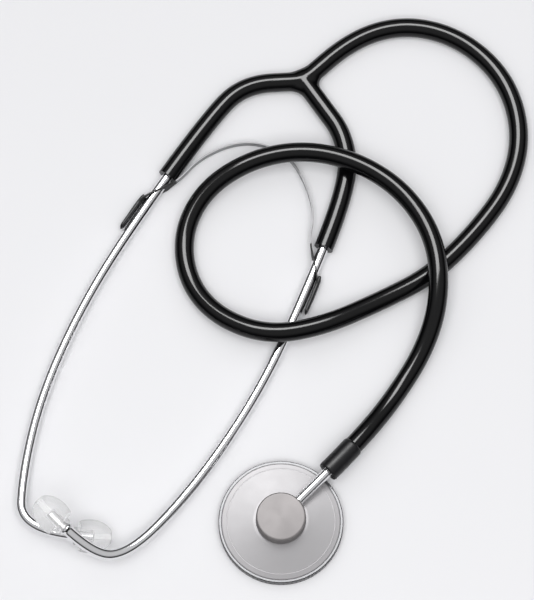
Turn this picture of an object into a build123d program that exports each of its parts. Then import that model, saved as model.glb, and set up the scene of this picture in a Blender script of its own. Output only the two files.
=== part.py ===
"""A single-head stethoscope lying on a table, with its hose in one large loop and one oval.

Millimetres. The origin is the centre of the chest piece's face on the table, +Z is up, +Y runs
from the chest piece towards the Y piece and +X is to the right as the user looks down on it.
"""
from build123d import *
from math import cos, pi, radians, sin, tan
import os

os.makedirs("parts", exist_ok=True)

# Clearances, all on the radius or face to face
RUN = 0.05  # round pieces that turn or slide in each other
SEAT = 0.05  # flat faces that rest on each other
PRESS = 0.02  # pieces driven together
SLOT_GAP = 0.2  # ear tube in the hole of the leaf spring

# Rubber tubing
HOSE_OD = 8.0
HOSE_R = HOSE_OD / 2
EAR_R = 2.2  # outside of the metal ear tubes, which are pushed into the arms
BORE_R = EAR_R + RUN
LIE_Z = HOSE_R  # height of the axis of whatever lies on the table
ARC_SHARE = 0.45  # how much of the shorter run each bend takes

# Chest piece, from its face on the table upwards
RING_R = 25.0
RING_TOP = 4.5
RING_WALL = 1.05
RING_LIP = 0.45
LIP_REACH = 2.05  # how far the lip runs in under the diaphragm
KNURL_COUNT = 90
KNURL_DEPTH = 0.18
KNURL_MARGIN = 0.7  # plain bands above and below the knurl
DIAPHRAGM_THICK = 0.35
DIAPHRAGM_STEP = 0.65  # the face stands this far proud of the clamped edge
STEP_RUN = 0.6
GASKET_THICK = 0.5
RIM_ABOVE_RING = 0.4
RIM_CHAMFER = 0.3
CONE_TOP_Z = 7.3
CONE_FOOT = 0.9  # width of the small flat between the cone and the boss
BOSS_R = 9.9
BOSS_TOP = 13.2
BOSS_CHAMFER = 0.5
CAVITY_TOP_Z = 4.2
CAVITY_APEX_R = 2.0
SOUND_HOLE_R = 1.4

# Stem and the end of the hose on it
STEM_R = 2.05
STEM_BORE_R = 1.3
STEM_Z = 10.0
STEM_AZIMUTH = 45.5
STEM_ROOT = 3.0  # how far from the middle the stem starts, inside the boss
HOSE_END_R = 26.5  # distance of the hose's end from the middle of the chest piece
STEM_IN_HOSE = 8.8
BARB_R = BORE_R - RUN
BARB_COUNT = 3
BARB_PITCH = 2.2
BARB_LONG = 1.8
LAST_RUN = 17.0
SLEEVE_WALL = 0.35
SLEEVE_LONG = 15.6  # along the hose's axis, from its end

# Y piece
JUNCTION = (9.8, 190.0, LIE_Z)
HOSE_BRANCH = 13.5
LEFT_BRANCH = 13.0
RIGHT_BRANCH = 14.0
WEB_THICK = 4.5  # flat web that fills the crotches
WEB_REACH = 7.0  # how far along each branch the web runs
WEB_END_R = 3.0

# Ear tubes and ear tips
EAR_WALL = 0.5
EAR_IN_ARM = 12.0
LEFT_STRAIGHT = 24.0  # how far each ear tube's first corner is from the end of its arm
RIGHT_STRAIGHT = 33.0
TIP_GRIP = 8.0
TIP_LENGTH = 15.0
TIP_R = 6.7
TIP_NECK_R = 3.5
TIP_NECK = 3.2
TIP_SKIRT_R = 5.6
TIP_SKIRT_DROP = 0.8
TIP_WAIST = 6.2  # distance from the tip's base to its widest ring
TIP_SHOULDER = 11.4  # a point on the dome: distance from the base and from the axis
TIP_SHOULDER_R = 5.2
TIP_HOLE_R = 1.3
BEAD_R = 3.0
BEAD_WIDE = 1.4

# Leaf spring
LEAF_THICK = 0.6
LEAF_WIDE = 6.4
LEAF_OFF_LEFT = 5.1  # from the ear tube's axis to the leaf, beside the end of each arm
LEAF_OFF_RIGHT = 6.8
TAIL_OFFSET = 3.5  # from the ear tube's axis to the tail's middle plane
TAIL_START = 14.5  # distances along the ear tube from the end of its arm
TAIL_END = 28.0
TAIL_BEND_R = 5.0  # the bend between the tail and the hole
TAIL_SLEEVE_THICK = 2.4
TAIL_SLEEVE_EDGE_R = 1.0
TAIL_SLEEVE_WALL = 0.6
TAIL_SLEEVE_OVER = 1.2  # the sleeve reaches this far past the leaf's end
TAIL_SLEEVE_START = 1.5


def polar(azimuth, distance, z):
    """The point at a height, an angle from +X and a distance from the origin's upright."""
    angle = radians(azimuth)
    return (distance * cos(angle), distance * sin(angle), z)


def beyond(start, end, distance):
    """The point at a distance from end, on the line that comes from start."""
    way = (Vector(*end) - Vector(*start)).normalized()
    return tuple(Vector(*end) + way * distance)


def corner_radii(points):
    """The radius of each bend: the largest that its two runs leave room for."""
    radii = []
    for a, b, c in zip(points, points[1:], points[2:]):
        before = Vector(*b) - Vector(*a)
        after = Vector(*c) - Vector(*b)
        half_turn = radians(before.get_angle(after)) / 2
        radii.append(ARC_SHARE * min(before.length, after.length) / tan(half_turn))
    return radii


def bent_tube(points, outer_r, bore_r):
    """A tube of straight runs and tangent bends through the given corners."""
    with BuildPart() as tube:
        with BuildLine() as path:
            FilletPolyline(*points, radius=corner_radii(points))
        with BuildSketch(Plane(origin=path.line @ 0, z_dir=path.line % 0)):
            Circle(outer_r)
            Circle(bore_r, mode=Mode.SUBTRACT)
        sweep()
    return tube


def axial_plane(base, way):
    """A plane through an axis: its local Y runs along the axis, its local X stands out from it."""
    along = Vector(*way).normalized()
    out = along.cross(Vector(0, 0, 1)).normalized()
    return Plane(origin=base, x_dir=out, z_dir=out.cross(along))


def finish(builder, label):
    """Name a piece and write it to its own file."""
    builder.part.label = label
    export_step(builder.part, f"parts/{label}.step")


# Routes. Each is a list of the corners that the axis of a tube goes round.

stem_way = Vector(cos(radians(STEM_AZIMUTH)), sin(radians(STEM_AZIMUTH)), 0)
hose_end = polar(STEM_AZIMUTH, HOSE_END_R, STEM_Z)
last_corner = polar(STEM_AZIMUTH, HOSE_END_R + LAST_RUN, STEM_Z)
HUMP_EAR = LIE_Z + EAR_R + HOSE_OD + HOSE_R  # axis height where the hose goes over an ear tube
HUMP_ARM = HOSE_OD + HOSE_OD + HOSE_R  # and over an arm, the leaf spring or itself

HOSE_CORNERS = [
    (31.0, 209.5, LIE_Z),
    (53.5, 216.0, LIE_Z),
    (76.5, 209.5, LIE_Z),
    (94.5, 191.5, LIE_Z),
    (101.0, 167.0, LIE_Z),
    (95.5, 143.5, LIE_Z),
    (80.5, 122.5, LIE_Z),
    (62.0, 104.0, LIE_Z),
    (40.5, 92.0, 8.5),
    (17.0, 80.0, HUMP_EAR),
    (-5.5, 76.0, HUMP_EAR),
    (-26.5, 85.5, 11.5),
    (-38.5, 102.0, 5.5),
    (-40.5, 123.0, 4.5),
    (-31.0, 141.0, 11.0),
    (-12.0, 152.0, 18.5),
    (10.0, 156.0, HUMP_ARM),
    (32.5, 150.5, HUMP_ARM),
    (51.5, 137.0, HUMP_ARM),
    (63.5, 116.5, HUMP_ARM),
    (65.0, 92.5, HUMP_ARM),
    (59.0, 72.0, 11.5),
    (45.0, 50.0, LIE_Z),
]
hose_exit = beyond(HOSE_CORNERS[0], JUNCTION, -HOSE_BRANCH)
HOSE_ROUTE = [hose_exit, *HOSE_CORNERS, last_corner, hose_end]

LEFT_ARM_CORNERS = [(-15.0, 188.6, LIE_Z), (-29.2, 173.7, LIE_Z)]
left_arm_start = beyond(LEFT_ARM_CORNERS[0], JUNCTION, -LEFT_BRANCH)
left_arm_end = (-47.1, 147.1, LIE_Z)
LEFT_ARM_ROUTE = [left_arm_start, *LEFT_ARM_CORNERS, left_arm_end]

RIGHT_ARM_CORNERS = [(26.6, 165.5, LIE_Z), (28.9, 144.7, LIE_Z)]
right_arm_start = beyond(RIGHT_ARM_CORNERS[0], JUNCTION, -RIGHT_BRANCH)
right_arm_end = (17.7, 115.7, LIE_Z)
RIGHT_ARM_ROUTE = [right_arm_start, *RIGHT_ARM_CORNERS, right_arm_end]

LEFT_EAR_ROUTE = [
    beyond(LEFT_ARM_ROUTE[-2], left_arm_end, -EAR_IN_ARM),
    beyond(LEFT_ARM_ROUTE[-2], left_arm_end, LEFT_STRAIGHT),
    (-81.0, 91.5, LIE_Z),
    (-96.5, 54.5, LIE_Z),
    (-103.6, 22.0, LIE_Z),
    (-104.5, -5.6, 5.6),
    (-74.8, -6.6, TIP_R),
]
RIGHT_EAR_ROUTE = [
    beyond(RIGHT_ARM_ROUTE[-2], right_arm_end, -EAR_IN_ARM),
    beyond(RIGHT_ARM_ROUTE[-2], right_arm_end, RIGHT_STRAIGHT),
    (-13.0, 46.5, LIE_Z),
    (-37.0, 11.5, LIE_Z),
    (-61.0, -15.8, 10.5),
    (-76.5, -15.2, 15.5),
    (-91.0, -0.8, 21.6),
]


# Chest piece body: a disc with a low cone, a boss and a shallow sound cavity underneath

thread_r = RING_R - RING_WALL - 2 * RUN
diaphragm_edge_z = DIAPHRAGM_STEP + DIAPHRAGM_THICK
gasket_z = diaphragm_edge_z + SEAT
seat_z = gasket_z + GASKET_THICK + SEAT
rim_z = RING_TOP + RIM_ABOVE_RING
lip_r = RING_R - RING_WALL - LIP_REACH

with BuildPart() as chest_body:
    with BuildSketch(Plane.XZ):
        with BuildLine():
            Polyline(
                (CAVITY_APEX_R, CAVITY_TOP_Z),
                (lip_r, seat_z),
                (thread_r, seat_z),
                (thread_r, rim_z - RIM_CHAMFER),
                (thread_r - RIM_CHAMFER, rim_z),
                (BOSS_R + CONE_FOOT, CONE_TOP_Z),
                (BOSS_R, CONE_TOP_Z),
                (BOSS_R, BOSS_TOP - BOSS_CHAMFER),
                (BOSS_R - BOSS_CHAMFER, BOSS_TOP),
                (0, BOSS_TOP),
                (0, CAVITY_TOP_Z),
                close=True,
            )
        make_face()
    revolve(axis=Axis.Z)
    with BuildSketch(Plane.XY.offset(CAVITY_TOP_Z)):
        Circle(SOUND_HOLE_R)
    extrude(amount=STEM_Z - CAVITY_TOP_Z, mode=Mode.SUBTRACT)
    with BuildSketch(Plane(origin=(0, 0, STEM_Z), z_dir=stem_way)):
        Circle(STEM_BORE_R)
    extrude(amount=STEM_ROOT, mode=Mode.SUBTRACT)
    with BuildSketch(Plane(origin=polar(STEM_AZIMUTH, STEM_ROOT - SEAT, STEM_Z), z_dir=stem_way)):
        Circle(STEM_R + PRESS)
    extrude(amount=BOSS_R, mode=Mode.SUBTRACT)


# Stem: a tube from inside the boss into the hose, with barbs that grip the hose

stem_tip = HOSE_END_R + STEM_IN_HOSE - STEM_ROOT
barb_starts = [stem_tip - BARB_PITCH * (step + 1) for step in range(BARB_COUNT)]

with BuildPart() as chest_stem:
    with BuildSketch(axial_plane(polar(STEM_AZIMUTH, STEM_ROOT, STEM_Z), stem_way)):
        with Locations(((STEM_R + STEM_BORE_R) / 2, stem_tip / 2)):
            Rectangle(STEM_R - STEM_BORE_R, stem_tip)
        for start in barb_starts:
            with BuildLine():
                Polyline(
                    (STEM_BORE_R, start),
                    (BARB_R, start),
                    (STEM_R, start + BARB_LONG),
                    (STEM_BORE_R, start + BARB_LONG),
                    close=True,
                )
            make_face()
    revolve(axis=Axis(origin=(0, 0, STEM_Z), direction=stem_way))


# Diaphragm: a thin stepped disc, its middle proud of the ring so that it meets the skin

with BuildPart() as diaphragm:
    with BuildSketch(Plane.XZ):
        with BuildLine():
            step_foot_r = lip_r - STEP_RUN - 2 * RUN - DIAPHRAGM_THICK
            edge_r = RING_R - RING_WALL - 3 * RUN
            Polyline(
                (0, 0),
                (step_foot_r, 0),
                (step_foot_r + STEP_RUN, DIAPHRAGM_STEP),
                (edge_r, DIAPHRAGM_STEP),
                (edge_r, diaphragm_edge_z),
                (step_foot_r + STEP_RUN - DIAPHRAGM_THICK / 2, diaphragm_edge_z),
                (step_foot_r - DIAPHRAGM_THICK / 2, DIAPHRAGM_THICK),
                (0, DIAPHRAGM_THICK),
                close=True,
            )
        make_face()
    revolve(axis=Axis.Z)


# Gasket: the flat ring between the diaphragm's edge and the body

with BuildPart() as diaphragm_gasket:
    with BuildSketch(Plane.XY.offset(gasket_z)):
        Circle(thread_r - RUN)
        Circle(lip_r, mode=Mode.SUBTRACT)
    extrude(amount=GASKET_THICK)


# Retaining ring: screws over the rim from below and holds the diaphragm with its lip

with BuildPart() as retaining_ring:
    with BuildSketch(Plane.XZ):
        with BuildLine():
            wall_r = RING_R - RING_WALL
            lip_top = DIAPHRAGM_STEP - SEAT
            Polyline(
                (lip_r, lip_top - RING_LIP),
                (RING_R - RIM_CHAMFER, lip_top - RING_LIP),
                (RING_R, lip_top - RING_LIP + RIM_CHAMFER),
                (RING_R, RING_TOP - RIM_CHAMFER),
                (RING_R - RIM_CHAMFER, RING_TOP),
                (wall_r, RING_TOP),
                (wall_r, lip_top),
                (lip_r, lip_top),
                close=True,
            )
        make_face()
    revolve(axis=Axis.Z)
    knurl_foot = lip_top - RING_LIP + KNURL_MARGIN
    with BuildSketch(Plane.XY.offset(knurl_foot)):
        with PolarLocations(RING_R, KNURL_COUNT):
            Rectangle(2 * KNURL_DEPTH, 2 * KNURL_DEPTH, rotation=45)
    extrude(amount=RING_TOP - KNURL_MARGIN - knurl_foot, mode=Mode.SUBTRACT)


# Hose: one tube from the Y piece to the stem

main_hose = bent_tube(HOSE_ROUTE, HOSE_R, BORE_R)

hose_radii = corner_radii(HOSE_ROUTE)
with BuildLine() as hose_axis:
    FilletPolyline(*HOSE_ROUTE, radius=hose_radii)
section = pi * (HOSE_R**2 - BORE_R**2)
print("hose bend radii:", [round(radius, 1) for radius in hose_radii])
hose_length = sum(edge.length for edge in hose_axis.edges())
print("hose length:", round(hose_length, 1))
print("hose volume:", round(main_hose.part.volume, 1))
print("hose section times length:", round(section * hose_length, 1))


# Sleeve on the hose's end, over the stem

sleeve_route = [hose_end, last_corner, HOSE_ROUTE[-3]]
with BuildPart() as hose_end_sleeve:
    with BuildLine() as sleeve_axis:
        FilletPolyline(*sleeve_route, radius=hose_radii[-1])
    with BuildSketch(Plane(origin=hose_end, z_dir=sleeve_axis.line % 0)):
        Circle(HOSE_R + RUN + SLEEVE_WALL)
        Circle(HOSE_R + RUN, mode=Mode.SUBTRACT)
    sweep()
    cut = SLEEVE_LONG / sum(edge.length for edge in sleeve_axis.edges())
    split(
        bisect_by=Plane(origin=sleeve_axis.line @ cut, z_dir=sleeve_axis.line % cut),
        keep=Keep.BOTTOM,
    )


# Y piece: the hose runs on into the left branch in one bend, and the right branch joins it there

through_route = [left_arm_start, JUNCTION, hose_exit]
right_way = Vector(*right_arm_start) - Vector(*JUNCTION)

with BuildPart() as y_piece:
    with BuildLine() as through:
        FilletPolyline(*through_route, radius=corner_radii(through_route))
    fork = through.line @ 0.5
    with BuildSketch(Plane(origin=through.line @ 0, z_dir=through.line % 0)):
        Circle(HOSE_R)
    sweep()
    with BuildSketch(Plane(origin=right_arm_start, z_dir=-right_way)):
        Circle(HOSE_R)
    extrude(amount=(Vector(*right_arm_start) - fork).length)
    with BuildSketch(Plane.XY.offset(LIE_Z - WEB_THICK / 2)):
        for branch_end in (left_arm_start, right_arm_start, hose_exit):
            web_x, web_y, _ = beyond(branch_end, JUNCTION, -WEB_REACH)
            with Locations((web_x, web_y)):
                Circle(WEB_END_R)
        make_hull()
    extrude(amount=WEB_THICK)
    with BuildSketch(Plane(origin=through.line @ 0, z_dir=through.line % 0)):
        Circle(BORE_R)
    sweep(path=through.line, mode=Mode.SUBTRACT)
    with BuildSketch(Plane(origin=right_arm_start, z_dir=-right_way)):
        Circle(BORE_R)
    extrude(amount=RIGHT_BRANCH, mode=Mode.SUBTRACT)


# Arms

left_arm = bent_tube(LEFT_ARM_ROUTE, HOSE_R, BORE_R)
right_arm = bent_tube(RIGHT_ARM_ROUTE, HOSE_R, BORE_R)


# Ear tubes: bent metal tube with a rolled bead that the ear tip stops against


def ear_tube(route):
    """A bent metal tube with a bead just short of the ear tip's base."""
    with BuildPart() as tube:
        with BuildLine() as path:
            FilletPolyline(*route, radius=corner_radii(route))
        with BuildSketch(Plane(origin=path.line @ 0, z_dir=path.line % 0)):
            Circle(EAR_R)
        sweep()
        with BuildSketch(Plane(origin=beyond(route[-2], route[-1], -TIP_GRIP), z_dir=path.line % 1)):
            Circle(BEAD_R)
        extrude(amount=-BEAD_WIDE)
        with BuildSketch(Plane(origin=path.line @ 0, z_dir=path.line % 0)):
            Circle(EAR_R - EAR_WALL)
        sweep(path=path.line, mode=Mode.SUBTRACT)
    return tube


left_ear_tube = ear_tube(LEFT_EAR_ROUTE)
right_ear_tube = ear_tube(RIGHT_EAR_ROUTE)


# Ear tips: soft mushrooms pushed over the ends of the ear tubes


def ear_tip(route):
    """A mushroom-shaped ear tip round the end of a route."""
    base = beyond(route[-2], route[-1], SEAT - TIP_GRIP)
    way = Vector(*route[-1]) - Vector(*route[-2])
    with BuildPart() as tip:
        with BuildSketch(axial_plane(base, way)) as profile:
            with BuildLine() as outline:
                nose = Spline(
                    (TIP_R, TIP_WAIST),
                    (TIP_SHOULDER_R, TIP_SHOULDER),
                    (TIP_HOLE_R, TIP_LENGTH),
                    tangents=((0, 1), (-1, 0)),
                )
                Polyline(
                    nose @ 0,
                    (TIP_SKIRT_R, TIP_NECK - TIP_SKIRT_DROP),
                    (TIP_NECK_R, TIP_NECK),
                    (TIP_NECK_R, 0),
                    (EAR_R + RUN, 0),
                    (EAR_R + RUN, TIP_GRIP + SEAT),
                    (TIP_HOLE_R, TIP_GRIP + SEAT),
                    nose @ 1,
                )
            make_face()
        revolve(axis=Axis(origin=base, direction=way))
    return tip


left_ear_tip = ear_tip(LEFT_EAR_ROUTE)
right_ear_tip = ear_tip(RIGHT_EAR_ROUTE)


# Leaf spring: a strip on edge that crosses both ear tubes, each through a hole in the strip


def beside(route, distance, offset):
    """The point so far along an ear tube from its arm's end, and so far to one side of it."""
    way = (Vector(*route[-1]) - Vector(*route[-2])).normalized()
    side = Vector(-way.Y, way.X, 0)
    return tuple(Vector(*route[-1]) + way * distance + side * offset)


LEAF_ROUTE = [
    beside(LEFT_ARM_ROUTE, TAIL_END, -TAIL_OFFSET),
    beside(LEFT_ARM_ROUTE, TAIL_START, -TAIL_OFFSET),
    beside(LEFT_ARM_ROUTE, 0.0, LEAF_OFF_LEFT),
    (-33.0, 156.0, LIE_Z),
    (-14.5, 163.5, LIE_Z),
    (3.0, 157.5, LIE_Z),
    (11.0, 143.0, LIE_Z),
    (14.0, 129.5, LIE_Z),
    beside(RIGHT_ARM_ROUTE, -1.0, -LEAF_OFF_RIGHT),
    beside(RIGHT_ARM_ROUTE, TAIL_START, TAIL_OFFSET),
    beside(RIGHT_ARM_ROUTE, TAIL_END, TAIL_OFFSET),
]

with BuildPart() as leaf_spring:
    with BuildLine() as leaf_axis:
        FilletPolyline(*LEAF_ROUTE, radius=[TAIL_BEND_R, *corner_radii(LEAF_ROUTE)[1:-1], TAIL_BEND_R])
    with BuildSketch(Plane(origin=leaf_axis.line @ 0, z_dir=leaf_axis.line % 0, x_dir=(0, 0, 1))):
        Rectangle(LEAF_WIDE, LEAF_THICK)
    sweep()
    for arm_route in (LEFT_ARM_ROUTE, RIGHT_ARM_ROUTE):
        way = Vector(*arm_route[-1]) - Vector(*arm_route[-2])
        with BuildSketch(Plane(origin=arm_route[-1], z_dir=way)):
            Circle(EAR_R + SLOT_GAP)
        extrude(amount=TAIL_START + TAIL_OFFSET, mode=Mode.SUBTRACT)


# Sleeves on the two ends of the leaf spring


def tail_sleeve(near, end):
    """A closed sleeve over one end of the leaf, from near the ear tube to past the leaf's end."""
    way = (Vector(*end) - Vector(*near)).normalized()
    start = tuple(Vector(*near) + way * TAIL_SLEEVE_START)
    length = (Vector(*end) - Vector(*start)).length + TAIL_SLEEVE_OVER
    height = LEAF_WIDE + 2 * TAIL_SLEEVE_WALL
    with BuildPart() as sleeve:
        with BuildSketch(Plane(origin=start, z_dir=way, x_dir=(0, 0, 1))):
            RectangleRounded(height, TAIL_SLEEVE_THICK, TAIL_SLEEVE_EDGE_R)
        extrude(amount=length)
        fillet(sleeve.faces().sort_by(Axis(start, way))[-1].edges(), TAIL_SLEEVE_WALL / 2)
        with BuildSketch(Plane(origin=start, z_dir=way, x_dir=(0, 0, 1))):
            Rectangle(LEAF_WIDE + 2 * RUN, LEAF_THICK + 2 * RUN)
        extrude(amount=length - TAIL_SLEEVE_OVER + SEAT, mode=Mode.SUBTRACT)
    return sleeve


left_spring_sleeve = tail_sleeve(LEAF_ROUTE[1], LEAF_ROUTE[0])
right_spring_sleeve = tail_sleeve(LEAF_ROUTE[-2], LEAF_ROUTE[-1])


finish(chest_body, "chest_body")
finish(chest_stem, "chest_stem")
finish(diaphragm, "diaphragm")
finish(diaphragm_gasket, "diaphragm_gasket")
finish(retaining_ring, "retaining_ring")
finish(main_hose, "main_hose")
finish(hose_end_sleeve, "hose_end_sleeve")
finish(y_piece, "y_piece")
finish(left_arm, "left_arm")
finish(right_arm, "right_arm")
finish(left_ear_tube, "left_ear_tube")
finish(right_ear_tube, "right_ear_tube")
finish(left_ear_tip, "left_ear_tip")
finish(right_ear_tip, "right_ear_tip")
finish(leaf_spring, "leaf_spring")
finish(left_spring_sleeve, "left_spring_sleeve")
finish(right_spring_sleeve, "right_spring_sleeve")
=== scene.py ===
"""A single-head stethoscope on a pale table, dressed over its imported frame.

Everything is in metres in the frame of the part: the origin is the centre of the chest piece's
face on the table, +Z is up and +Y runs from the chest piece towards the Y piece.
"""
import math

import bmesh
import bpy
import numpy as np
from bpy.props import FloatProperty, FloatVectorProperty, IntProperty, PointerProperty
from bpy.types import Operator, Panel, PropertyGroup
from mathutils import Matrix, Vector


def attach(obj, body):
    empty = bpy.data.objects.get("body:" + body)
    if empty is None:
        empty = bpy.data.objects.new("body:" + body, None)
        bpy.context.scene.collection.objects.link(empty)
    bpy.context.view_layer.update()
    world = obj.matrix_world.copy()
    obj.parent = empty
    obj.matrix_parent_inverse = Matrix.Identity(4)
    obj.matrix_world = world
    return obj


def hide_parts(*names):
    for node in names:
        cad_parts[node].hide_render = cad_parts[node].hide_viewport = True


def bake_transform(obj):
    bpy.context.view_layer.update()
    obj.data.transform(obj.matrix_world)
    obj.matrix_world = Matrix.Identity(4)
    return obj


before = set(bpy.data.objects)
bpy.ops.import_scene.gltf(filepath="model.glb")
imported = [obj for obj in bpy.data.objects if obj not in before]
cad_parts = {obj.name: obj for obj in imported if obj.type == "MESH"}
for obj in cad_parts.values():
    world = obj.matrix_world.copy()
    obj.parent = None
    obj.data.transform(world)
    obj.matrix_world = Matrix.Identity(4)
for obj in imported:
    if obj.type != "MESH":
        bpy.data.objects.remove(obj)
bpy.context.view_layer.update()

bl_info = {
    "name": "Stethoscope",
    "version": (1, 0, 0),
    "blender": (4, 5, 0),
    "location": "3D view > Sidebar > Stethoscope",
    "description": "Dresses the stethoscope's frame with its tubing, metal parts, ear tips and stage",
    "category": "Object",
}

# Sizes of the object, in metres

HOSE_R = 0.004
EAR_R = 0.0022
EAR_BORE_R = 0.0017
BEAD_R = 0.003
BEAD_HALF = 0.0008  # half the bead's width
BEAD_BEFORE_TIP = 0.0007  # from the bead's middle to the ear tip's base
BOSS_R = 0.0099
TURNED_RINGS = 9000.0  # scale of the lathe tool's fine rings, per metre of radius
TIP_GRIP = 0.008
RUN = 0.00005  # running clearance of round pieces
LIE_Z = 0.004
STEM_Z = 0.010
OVER_EAR = 0.0107  # height of the hose's axis over an ear tube
OVER_ARM = 0.0128  # and over an arm or over itself
STEM_AZIMUTH = math.radians(45.5)
STEM_WAY = Vector((math.cos(STEM_AZIMUTH), math.sin(STEM_AZIMUTH), 0.0))
JUNCTION = Vector((0.0098, 0.190, LIE_Z))

HOSE_CORNERS = [
    (0.0310, 0.2095, LIE_Z),
    (0.0535, 0.2160, LIE_Z),
    (0.0765, 0.2095, LIE_Z),
    (0.0945, 0.1915, LIE_Z),
    (0.1010, 0.1670, LIE_Z),
    (0.0955, 0.1435, LIE_Z),
    (0.0805, 0.1225, LIE_Z),
    (0.0620, 0.1040, LIE_Z),
    (0.0405, 0.0920, 0.0060),
    (0.0170, 0.0800, OVER_EAR),
    (-0.0055, 0.0760, OVER_EAR),
    (-0.0265, 0.0855, 0.0070),
    (-0.0385, 0.1020, LIE_Z),
    (-0.0405, 0.1230, LIE_Z),
    (-0.0310, 0.1410, 0.0070),
    (-0.0120, 0.1520, 0.0120),
    (0.0100, 0.1560, OVER_ARM),
    (0.0325, 0.1505, OVER_ARM),
    (0.0515, 0.1370, OVER_ARM),
    (0.0635, 0.1165, OVER_ARM),
    (0.0650, 0.0925, 0.0124),
    (0.0590, 0.0720, 0.0060),
    (0.0450, 0.0500, LIE_Z),
]
HOSE_END_R = 0.0265
LAST_RUN = 0.0170
SLEEVE_LENGTH = 0.0156
SLEEVE_WALL = 0.00038
SLEEVE_LIP = 0.0008  # how far each of its ends rounds off

LEFT_ARM_CORNERS = [(-0.0150, 0.1886, LIE_Z), (-0.0292, 0.1737, LIE_Z)]
LEFT_ARM_END = (-0.0471, 0.1471, LIE_Z)
RIGHT_ARM_CORNERS = [(0.0266, 0.1655, LIE_Z), (0.0289, 0.1447, LIE_Z)]
RIGHT_ARM_END = (0.0177, 0.1157, LIE_Z)
HOSE_BRANCH, LEFT_BRANCH, RIGHT_BRANCH = 0.0135, 0.0130, 0.0140
EAR_IN_ARM = 0.012
LEFT_EXIT = (LEFT_ARM_CORNERS[-1], LEFT_ARM_END)  # the line along which each ear tube leaves its arm
RIGHT_EXIT = (RIGHT_ARM_CORNERS[-1], RIGHT_ARM_END)
LEFT_STRAIGHT, RIGHT_STRAIGHT = 0.024, 0.033  # first corner of each ear tube, from its arm's end

LEFT_EAR_CORNERS = [
    (-0.0810, 0.0915, LIE_Z),
    (-0.0965, 0.0545, LIE_Z),
    (-0.1036, 0.0220, LIE_Z),
    (-0.1045, -0.0056, 0.0056),
    (-0.0748, -0.0066, 0.0067),
]
RIGHT_EAR_CORNERS = [
    (-0.0130, 0.0465, LIE_Z),
    (-0.0370, 0.0115, LIE_Z),
    (-0.0610, -0.0158, 0.0105),
    (-0.0765, -0.0152, 0.0155),
    (-0.0910, -0.0008, 0.0216),
]
LEAF_OFF_LEFT, LEAF_OFF_RIGHT = 0.0051, 0.0068  # from the axis to the leaf, beside each arm's end
TAIL_OFFSET = 0.0035  # from the ear tube's axis to the leaf's tail
TAIL_START = 0.0145  # along the ear tube, from its arm's end
TAIL_END = 0.0280
LEAF_CROSSING = 0.0086  # how far from the end of each arm the leaf crosses the ear tube
HOLE_GAP = 0.0002  # between the ear tube and its hole in the leaf
HOLE_REACH = 0.0050  # the leaf keeps its full width so far round the crossing
HOLE_EASE = 0.0040  # and eases into its slimmer width over this
LEAF_SLIM = 0.5  # share of the full width elsewhere
BLACK_REACH = 0.0100  # how far round the crossing the leaf is coloured black
LEAF_EDGE = 0.00012  # the bevel along its edges
LEAF_MIDDLE = [
    (-0.0330, 0.1560, LIE_Z),
    (-0.0145, 0.1635, LIE_Z),
    (0.0030, 0.1575, LIE_Z),
    (0.0110, 0.1430, LIE_Z),
    (0.0140, 0.1295, LIE_Z),
]

# The black vinyl sleeve on each end of the leaf spring, which hugs the ear tube

VINYL_OFFSET = 0.0032  # from the ear tube's axis to the sleeve's middle
VINYL_BEFORE = 0.0022  # how far before the tail it starts
VINYL_PAST = 0.0014  # and how far past the tail it ends
VINYL_INNER = 0.0009  # half thickness towards the ear tube
VINYL_OUTER = 0.00065  # and away from it
VINYL_SWELL = 0.0003
VINYL_HIGH = 0.0019  # half height
VINYL_NOSE = 0.14  # share of the length that rounds off at its end
VINYL_RINGS, VINYL_SIDES = 33, 28

# How the Y piece is moulded

MOULD_PAST = 0.004  # how far each line runs past its cut
MOULD_STEP = 0.0015
MOULD_VOXEL = 0.0007
MOULD_PASSES = 6
CUT_REACH = 0.012  # how far round a cut the mesh is cut

# Camera and stage

CAMERA_AIM = Vector((-0.005567, 0.093323, 0.004))
CAMERA_TILT = math.radians(18.0)
CAMERA_DISTANCE = 1.2
CAMERA_LENS = 175.61
CAMERA_SENSOR = 36.0
TABLE_HALF = 4.0
TABLE_Z = -0.0001
LAMP_AIM = Vector((0.0, 0.1, 0.0))
HORIZON = (0.30, (0.01, 0.01, 0.01, 1.0))  # height on the dome and colour
ZENITH = (0.72, (0.68, 0.68, 0.69, 1.0))
ROOM_STRENGTH = 0.9
BACKDROP = (0.86, 0.86, 0.87, 1.0)


# Settings that a user would change


class TubingSettings(PropertyGroup):
    """The black tubing and its sleeves."""

    color: FloatVectorProperty(
        name="Tubing colour", description="Colour of the soft black tubing", subtype="COLOR", size=3,
        default=(0.0025, 0.0025, 0.0028), min=0.0, max=1.0)
    sleeve_color: FloatVectorProperty(
        name="Sleeve colour", description="Colour of the duller black sleeves", subtype="COLOR", size=3,
        default=(0.008, 0.008, 0.009), min=0.0, max=1.0)
    crotch: FloatProperty(
        name="Crotch fill", description="How far the branches of the Y piece melt into each other",
        default=0.0042, min=0.001, max=0.01, unit="LENGTH")
    sides: IntProperty(
        name="Sides", description="Sides of each tube's section", default=40, min=12, max=96)


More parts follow.
